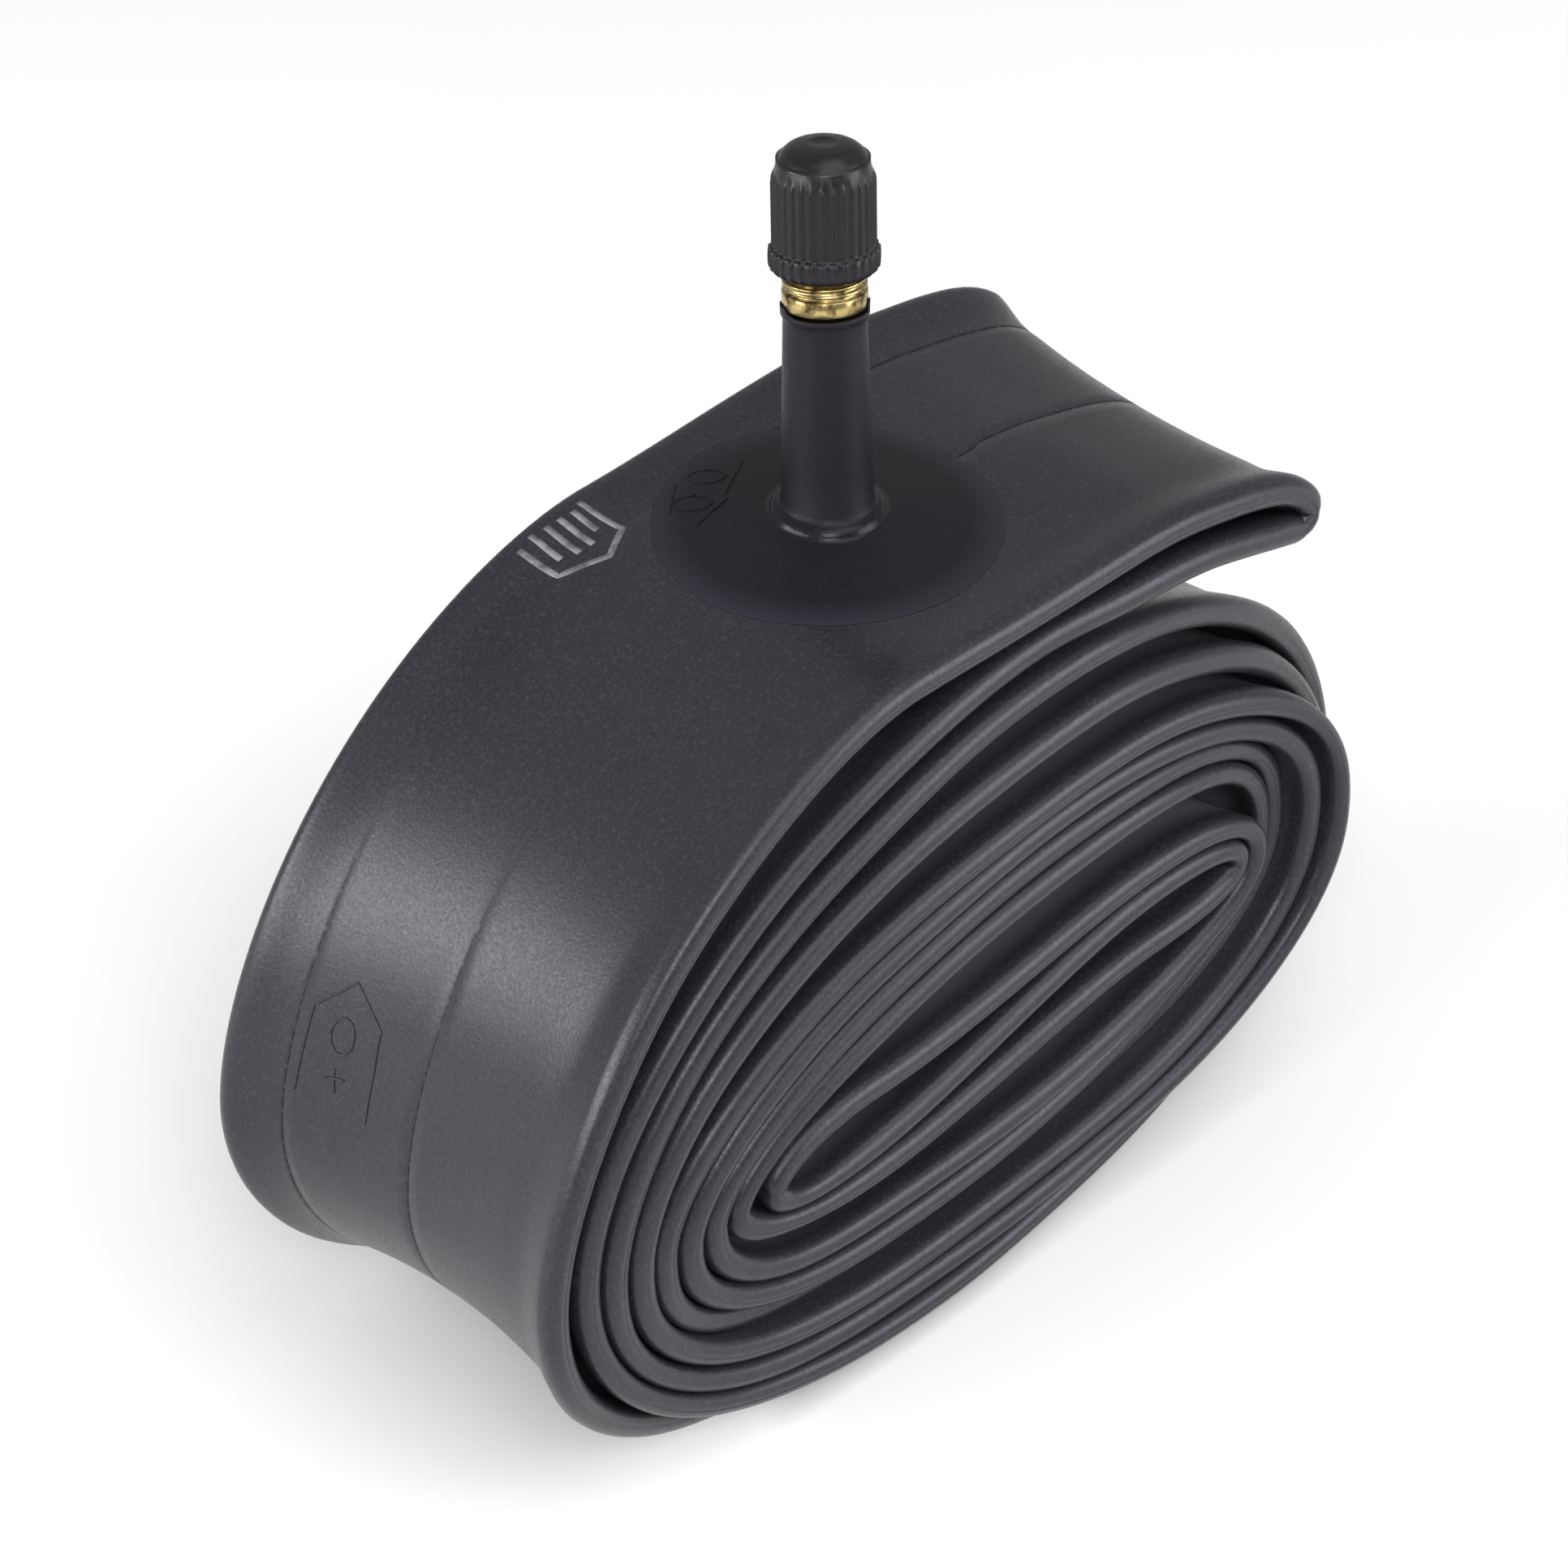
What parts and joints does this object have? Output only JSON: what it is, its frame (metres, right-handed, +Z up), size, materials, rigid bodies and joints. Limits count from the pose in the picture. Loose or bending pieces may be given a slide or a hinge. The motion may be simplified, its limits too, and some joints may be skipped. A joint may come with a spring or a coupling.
{
  "type": "inner tube",
  "caption": "Deflated butyl bicycle inner tube, pressed flat, folded double and rolled up, with a rubber-covered car-type valve, its core and a ribbed dust cap.",
  "frame": {"origin": "middle of the whole object's footprint, on the surface that the roll rests on", "axes": "+Z up, +Y along the roll's axis (the flat tube's width), +X towards the free fold at the roll's outer end. The valve leans 10 degrees from +Z, towards 49 degrees from +X"},
  "size_m": [0.1121, 0.046, 0.114],
  "materials": {
    "tube_rubber": "satin moulded butyl",
    "valve_rubber": "matt moulded rubber",
    "stem_brass": "turned, bright",
    "core_brass": "turned",
    "core_seal": "matt red sealing ring",
    "spring_steel": "drawn wire",
    "cap_rubber": "matt",
    "cap_plastic": "moulded, ribbed, half gloss"
  },
  "bodies": {
    "root": {"rolled_tube": "tube_rubber", "rubber_valve": "valve_rubber", "brass_stem": "stem_brass", "core_plug": "core_brass", "core_barrel": "core_brass", "core_washer": "core_seal", "core_spring": "spring_steel"},
    "core_plunger": {"core_pin": "core_brass", "seat_seal": "cap_rubber", "seat_cup": "core_brass"},
    "cap_washer": {"cap_seal": "cap_rubber"},
    "cap": {"dust_cap": "cap_plastic"}
  },
  "joints": [
    {"name": "pin_press", "type": "slide", "parent": "root", "child": "core_plunger", "axis": [0.1139, 0.1311, 0.9848], "range_m": [-0.0012, 0], "stiffness_N_per_m": 600, "springref_m": 0.0015, "deforming": ["core_spring"]},
    {"name": "cap_lift", "type": "slide", "parent": "root", "child": "cap_washer", "axis": [0.1139, 0.1311, 0.9848], "range_m": [0, 0.01032]},
    {"name": "cap_turn", "type": "hinge", "parent": "cap_washer", "child": "cap", "pos_m": [0.00596, 0.00432, 0.1104], "axis": [0.1139, 0.1311, 0.9848], "range_deg": [0, 4690]}
  ],
  "couplings": [
    {"joint": "cap_turn", "follows": "cap_lift", "rad_per_m": 7915.8}
  ]
}
